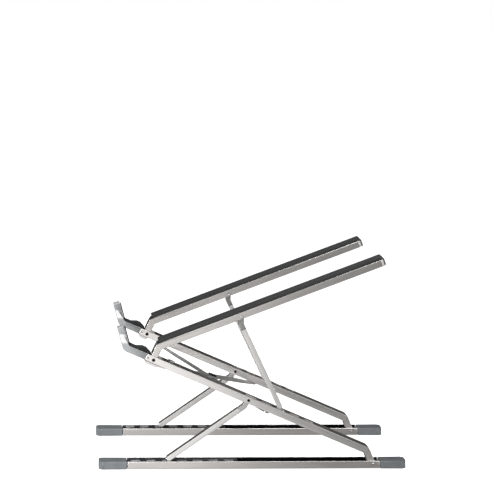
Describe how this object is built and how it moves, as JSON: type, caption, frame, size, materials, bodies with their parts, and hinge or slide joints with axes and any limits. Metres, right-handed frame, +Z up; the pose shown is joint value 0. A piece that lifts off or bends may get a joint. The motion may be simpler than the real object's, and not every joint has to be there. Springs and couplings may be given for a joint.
{
  "type": "laptop stand",
  "caption": "Two-layer folding laptop stand in aluminium channel with crossed links, prop struts, front hooks and rubber feet.",
  "frame": {"origin": "on the desk, under the middle of the two base rails and midway between them", "axes": "+X along the base rails to the rear of the stand, +Y to the user's left, +Z up"},
  "size_m": [0.255, 0.172, 0.1773],
  "materials": {
    "rail_aluminium": "satin anodised, fine lengthwise brushing, bright edges",
    "strut_aluminium": "satin anodised, warm silver",
    "knuckle_aluminium": "satin, darker grey",
    "front_cap_rubber": "matt mid grey rubber",
    "rear_cap_rubber": "matt dark grey rubber",
    "notch_plate_grey": "satin grey plate",
    "hook_polished": "bright polished",
    "pad_silicone": "matt black silicone",
    "link_steel": "dark satin steel",
    "track_steel": "satin steel",
    "pin_steel": "turned steel, bright"
  },
  "bodies": {
    "right_base": {"right_base_rail": "rail_aluminium", "right_front_cap": "front_cap_rubber", "right_rear_cap": "rear_cap_rubber", "right_notch_plate": "notch_plate_grey", "right_base_hinge_pin": "pin_steel"},
    "right_arm": {"right_mid_arm": "rail_aluminium", "right_front_pin": "pin_steel", "right_lower_strut_pin": "pin_steel", "right_hook_rivet": "pin_steel", "right_slide_track": "track_steel", "right_nose_bracket": "rail_aluminium", "right_link_pin": "pin_steel", "right_hook": "hook_polished", "right_hook_pad": "pad_silicone"},
    "right_tray": {"right_tray_rail": "rail_aluminium", "right_tray_pad": "pad_silicone", "right_upper_strut_pin": "pin_steel"},
    "right_lower_prop": {"right_lower_strut": "strut_aluminium", "right_lower_knuckle": "knuckle_aluminium"},
    "right_upper_prop": {"right_upper_strut": "strut_aluminium", "right_upper_knuckle": "knuckle_aluminium"},
    "left_base": {"left_base_rail": "rail_aluminium", "left_front_cap": "front_cap_rubber", "left_rear_cap": "rear_cap_rubber", "left_notch_plate": "notch_plate_grey", "left_base_hinge_pin": "pin_steel"},
    "left_arm": {"left_mid_arm": "rail_aluminium", "left_front_pin": "pin_steel", "left_lower_strut_pin": "pin_steel", "left_hook_rivet": "pin_steel", "left_slide_track": "track_steel", "left_nose_bracket": "rail_aluminium", "left_link_pin": "pin_steel", "left_hook": "hook_polished", "left_hook_pad": "pad_silicone"},
    "left_tray": {"left_tray_rail": "rail_aluminium", "left_tray_pad": "pad_silicone", "left_upper_strut_pin": "pin_steel"},
    "left_lower_prop": {"left_lower_strut": "strut_aluminium", "left_lower_knuckle": "knuckle_aluminium"},
    "left_upper_prop": {"left_upper_strut": "strut_aluminium", "left_upper_knuckle": "knuckle_aluminium"},
    "link_a_body": {"link_a": "link_steel", "left_slide_pin": "pin_steel", "hub_pin": "pin_steel"},
    "link_b_body": {"link_b": "link_steel", "right_slide_pin": "pin_steel"}
  },
  "joints": [
    {"name": "arm_fold", "type": "hinge", "parent": "right_base", "child": "right_arm", "pos_m": [0.0998, -0.076, 0.0047], "axis": [0, 1, 0], "range_deg": [-22, 0]},
    {"name": "scissor_fold", "type": "hinge", "parent": "right_arm", "child": "link_a_body", "pos_m": [-0.06899, -0.0705, 0.08508], "axis": [0.3931, 0, 0.9195], "range_deg": [-51.79, 0]},
    {"name": "scissor_hub", "type": "hinge", "parent": "link_a_body", "child": "link_b_body", "pos_m": [-0.02815, 0, 0.06762], "axis": [0.3931, 0, 0.9195], "range_deg": [0, 103.58]},
    {"name": "scissor_return", "type": "hinge", "parent": "link_b_body", "child": "left_arm", "pos_m": [-0.06899, 0.0705, 0.08508], "axis": [0.3931, 0, 0.9195], "range_deg": [-51.79, 0]},
    {"name": "left_base_fold", "type": "hinge", "parent": "left_arm", "child": "left_base", "pos_m": [0.0998, 0.076, 0.0047], "axis": [0, 1, 0], "range_deg": [0, 22]},
    {"name": "right_lower_strut_fold", "type": "hinge", "parent": "right_arm", "child": "right_lower_prop", "pos_m": [-0.00444, -0.076, 0.05748], "axis": [0, 1, 0], "range_deg": [0, 58.08]},
    {"name": "right_tray_fold", "type": "hinge", "parent": "right_arm", "child": "right_tray", "pos_m": [-0.08306, -0.076, 0.0911], "axis": [0, 1, 0], "range_deg": [0, 43]},
    {"name": "right_upper_strut_fold", "type": "hinge", "parent": "right_tray", "child": "right_upper_prop", "pos_m": [-0.01073, -0.076, 0.12681], "axis": [0, 1, 0], "range_deg": [-85.35, 0]},
    {"name": "left_lower_strut_fold", "type": "hinge", "parent": "left_arm", "child": "left_lower_prop", "pos_m": [-0.00444, 0.076, 0.05748], "axis": [0, 1, 0], "range_deg": [0, 58.08]},
    {"name": "left_tray_fold", "type": "hinge", "parent": "left_arm", "child": "left_tray", "pos_m": [-0.08306, 0.076, 0.0911], "axis": [0, 1, 0], "range_deg": [0, 43]},
    {"name": "left_upper_strut_fold", "type": "hinge", "parent": "left_tray", "child": "left_upper_prop", "pos_m": [-0.01073, 0.076, 0.12681], "axis": [0, 1, 0], "range_deg": [-85.35, 0]}
  ],
  "couplings": [
    {"joint": "scissor_hub", "follows": "scissor_fold", "ratio": -2},
    {"joint": "scissor_return", "follows": "scissor_fold", "ratio": 1},
    {"joint": "left_base_fold", "follows": "arm_fold", "ratio": -1},
    {"joint": "right_lower_strut_fold", "follows": "arm_fold", "ratio": -2.6389},
    {"joint": "right_upper_strut_fold", "follows": "right_tray_fold", "ratio": -1.9845},
    {"joint": "left_lower_strut_fold", "follows": "arm_fold", "ratio": -2.6389},
    {"joint": "left_upper_strut_fold", "follows": "left_tray_fold", "ratio": -1.9845}
  ]
}
